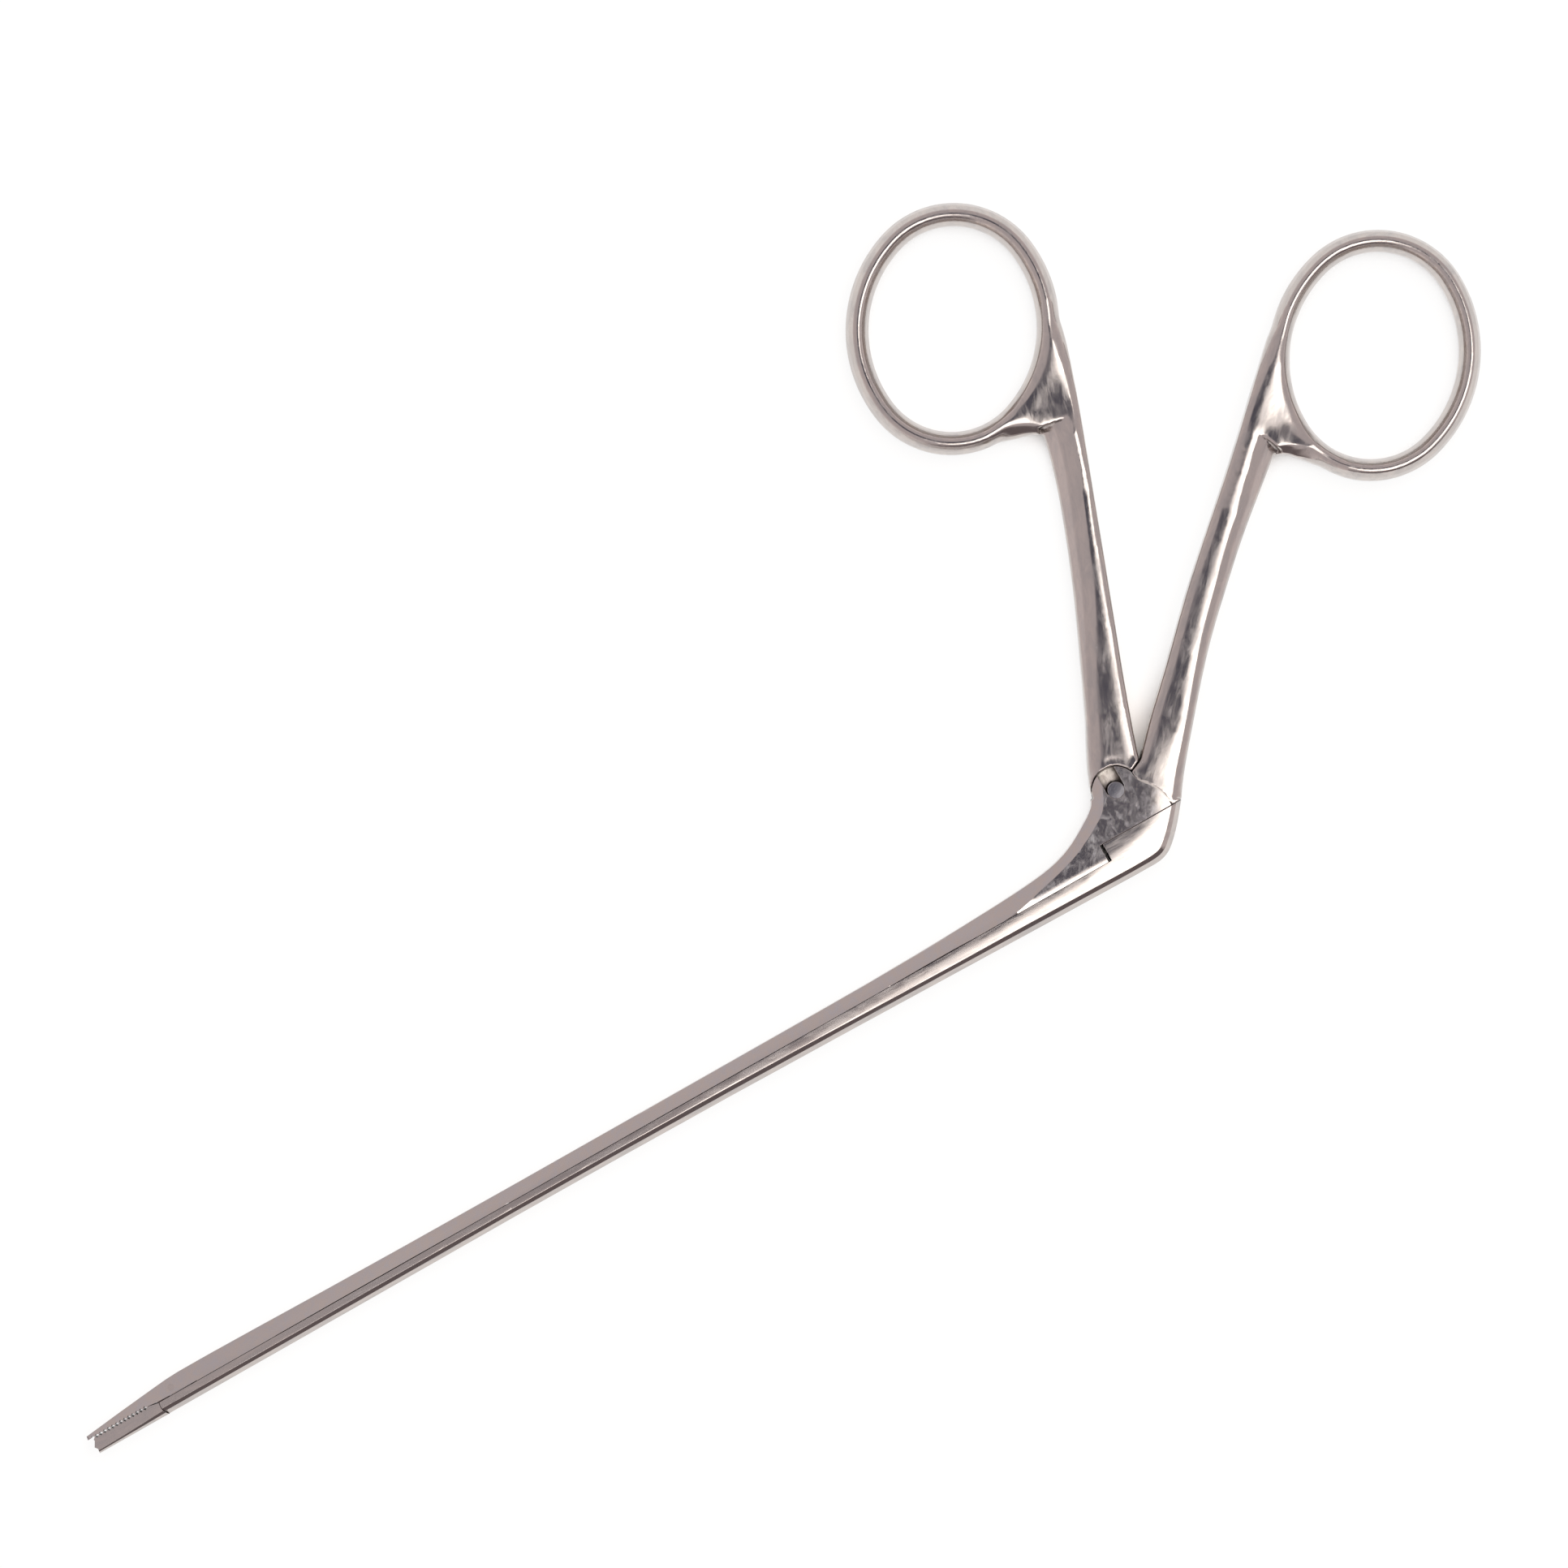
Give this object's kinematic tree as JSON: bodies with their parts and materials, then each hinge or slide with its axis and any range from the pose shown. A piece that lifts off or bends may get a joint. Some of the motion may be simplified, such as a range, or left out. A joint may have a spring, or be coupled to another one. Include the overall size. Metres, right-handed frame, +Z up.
{
  "type": "ear forceps",
  "caption": "Slim ear forceps with finger rings: closing the lever handle slides a rod along the fixed shaft and shuts a small hinged jaw with cross serrations.",
  "frame": {"origin": "on the handle pivot's axis, in the plane of the lock's underside, which is the plane that the instrument lies on", "axes": "+X runs along the shaft from the jaws to the knee, +Y points from the shaft to the side of the finger rings, +Z is up from the side it lies on"},
  "size_m": [0.2177, 0.0846, 0.0056],
  "materials": {
    "polished_steel": "polished stainless steel",
    "pin_steel": "polished stainless steel, ends ground flush"
  },
  "bodies": {
    "frame": {"frame_rod": "polished_steel", "rear_handle": "polished_steel", "handle_pivot_pin": "pin_steel", "jaw_pivot_pin": "pin_steel"},
    "lever": {"front_handle": "polished_steel", "drive_pin": "pin_steel"},
    "slide": {"slide_rod": "polished_steel", "jaw_link_pin": "pin_steel", "front_guide_stud": "pin_steel", "rear_guide_stud": "pin_steel"},
    "jaw": {"lower_jaw": "polished_steel"}
  },
  "joints": [
    {"name": "lever_hinge", "type": "hinge", "parent": "frame", "child": "lever", "pos_m": [0, 0, 0.0028], "axis": [0, 0, 1], "range_deg": [0, 10]},
    {"name": "rod_slide", "type": "slide", "parent": "frame", "child": "slide", "axis": [1, 0, 0], "range_m": [0, 0.001]},
    {"name": "jaw_hinge", "type": "hinge", "parent": "frame", "child": "jaw", "pos_m": [-0.1374, -0.00633, 0.0028], "axis": [0, 0, 1], "range_deg": [0, 36.42]}
  ],
  "couplings": [
    {"joint": "rod_slide", "follows": "lever_hinge", "m_per_rad": 0.005729},
    {"joint": "jaw_hinge", "follows": "lever_hinge", "ratio": 3.6416}
  ]
}
